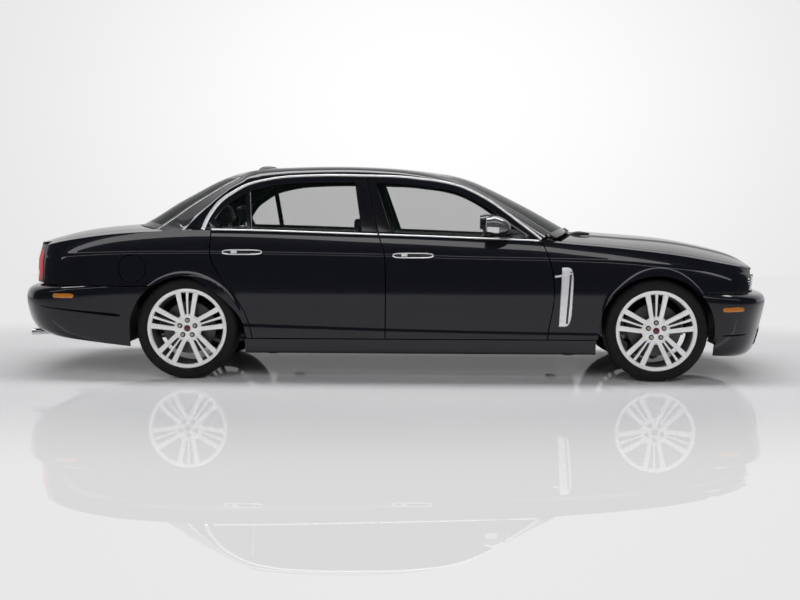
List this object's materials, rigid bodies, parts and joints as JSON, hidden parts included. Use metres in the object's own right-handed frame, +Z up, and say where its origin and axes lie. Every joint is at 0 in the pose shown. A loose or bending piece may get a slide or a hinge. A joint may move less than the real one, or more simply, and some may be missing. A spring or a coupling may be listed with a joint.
{
  "type": "luxury sedan car",
  "caption": "Long-wheelbase black luxury saloon with opening doors, bonnet, boot lid and fuel flap, steered front wheels and rolling alloy wheels.",
  "frame": {"origin": "on the ground, under the middle of the overall box", "axes": "+X forward, +Y to the left of the car, +Z up"},
  "size_m": [5.22, 2.1394, 1.4559],
  "materials": {
    "paint": "gloss",
    "glass": "gloss",
    "tyre": "matte",
    "rim": "satin",
    "steel": "matte",
    "bright": "polished",
    "clear_lens": "gloss",
    "red_lens": "gloss",
    "underbody": "satin",
    "chassis": "satin",
    "metal": "satin",
    "leather": "satin",
    "trim": "satin",
    "pad_rubber": "matte"
  },
  "bodies": {
    "body": {"floor_pan": "underbody", "side_frames": "paint", "pillars": "paint", "jack_pads": "pad_rubber", "roof_panel": "paint", "front_wings": "paint", "rear_quarters": "paint", "front_bumper": "paint", "rear_bumper": "paint", "windscreen": "glass", "rear_window": "glass", "grille": "bright", "headlamps": "clear_lens", "tail_lamps": "red_lens", "front_suspension": "chassis", "rear_suspension": "chassis", "engine": "metal", "exhaust": "metal", "dashboard": "trim", "front_seats": "leather", "rear_seat": "leather"},
    "front_left_door": {"front_left_door": "paint", "front_left_door_glass": "glass", "front_left_mirror": "paint"},
    "front_left_wheel": {"front_left_tyre": "tyre", "front_left_rim": "rim", "front_left_brake_disc": "steel"},
    "front_right_door": {"front_right_door": "paint", "front_right_door_glass": "glass", "front_right_mirror": "paint"},
    "front_right_wheel": {"front_right_tyre": "tyre", "front_right_rim": "rim", "front_right_brake_disc": "steel"},
    "rear_left_door": {"rear_left_door": "paint", "rear_left_door_glass": "glass"},
    "rear_left_wheel": {"rear_left_tyre": "tyre", "rear_left_rim": "rim", "rear_left_brake_disc": "steel"},
    "rear_right_door": {"rear_right_door": "paint", "rear_right_door_glass": "glass"},
    "rear_right_wheel": {"rear_right_tyre": "tyre", "rear_right_rim": "rim", "rear_right_brake_disc": "steel"},
    "front_left_knuckle": {"front_left_knuckle": "steel"},
    "front_right_knuckle": {"front_right_knuckle": "steel"},
    "bonnet": {"bonnet": "paint", "bonnet_hinges": "underbody"},
    "boot_lid": {"boot_lid": "paint", "boot_hinges": "underbody"},
    "fuel_flap": {"fuel_flap": "paint"},
    "steering_wheel": {"steering_wheel": "trim"}
  },
  "joints": [
    {"name": "front_left_steer", "type": "hinge", "parent": "body", "child": "front_left_knuckle", "pos_m": [1.788, 0.72, 0.343], "axis": [0, 0, 1], "range_deg": [-32, 32]},
    {"name": "front_left_spin", "type": "hinge", "parent": "front_left_knuckle", "child": "front_left_wheel", "pos_m": [1.788, 0.778, 0.343], "axis": [0, 1, 0], "continuous": true},
    {"name": "front_right_steer", "type": "hinge", "parent": "body", "child": "front_right_knuckle", "pos_m": [1.788, -0.72, 0.343], "axis": [0, 0, 1], "range_deg": [-32, 32]},
    {"name": "front_right_spin", "type": "hinge", "parent": "front_right_knuckle", "child": "front_right_wheel", "pos_m": [1.788, -0.778, 0.343], "axis": [0, 1, 0], "continuous": true},
    {"name": "rear_left_spin", "type": "hinge", "parent": "body", "child": "rear_left_wheel", "pos_m": [-1.372, 0.778, 0.343], "axis": [0, 1, 0], "continuous": true},
    {"name": "rear_right_spin", "type": "hinge", "parent": "body", "child": "rear_right_wheel", "pos_m": [-1.372, -0.778, 0.343], "axis": [0, 1, 0], "continuous": true},
    {"name": "front_left_door_swing", "type": "hinge", "parent": "body", "child": "front_left_door", "pos_m": [0.998, 0.904, 0.6], "axis": [0, 0, -1], "range_deg": [0, 66]},
    {"name": "front_right_door_swing", "type": "hinge", "parent": "body", "child": "front_right_door", "pos_m": [0.998, -0.904, 0.6], "axis": [0, 0, 1], "range_deg": [0, 66]},
    {"name": "rear_left_door_swing", "type": "hinge", "parent": "body", "child": "rear_left_door", "pos_m": [-0.133, 0.904, 0.6], "axis": [0, 0, -1], "range_deg": [0, 66]},
    {"name": "rear_right_door_swing", "type": "hinge", "parent": "body", "child": "rear_right_door", "pos_m": [-0.133, -0.904, 0.6], "axis": [0, 0, 1], "range_deg": [0, 66]},
    {"name": "bonnet_lift", "type": "hinge", "parent": "body", "child": "bonnet", "pos_m": [1.085, 0, 0.904], "axis": [0, -1, 0], "range_deg": [0, 50]},
    {"name": "boot_lift", "type": "hinge", "parent": "body", "child": "boot_lid", "pos_m": [-1.56, 0, 0.98], "axis": [0, 1, 0], "range_deg": [0, 75]},
    {"name": "fuel_flap_swing", "type": "hinge", "parent": "body", "child": "fuel_flap", "pos_m": [-1.715, -0.89423, 0.748], "axis": [0, 0.0934, 0.9956], "range_deg": [0, 95]},
    {"name": "steering_wheel_turn", "type": "hinge", "parent": "body", "child": "steering_wheel", "pos_m": [0.66211, 0.37, 0.93803], "axis": [-0.9272, 0, 0.3746], "range_deg": [-480, 480]}
  ],
  "couplings": [
    {"joint": "front_right_steer", "follows": "front_left_steer", "ratio": 1},
    {"joint": "steering_wheel_turn", "follows": "front_left_steer", "ratio": 15}
  ]
}
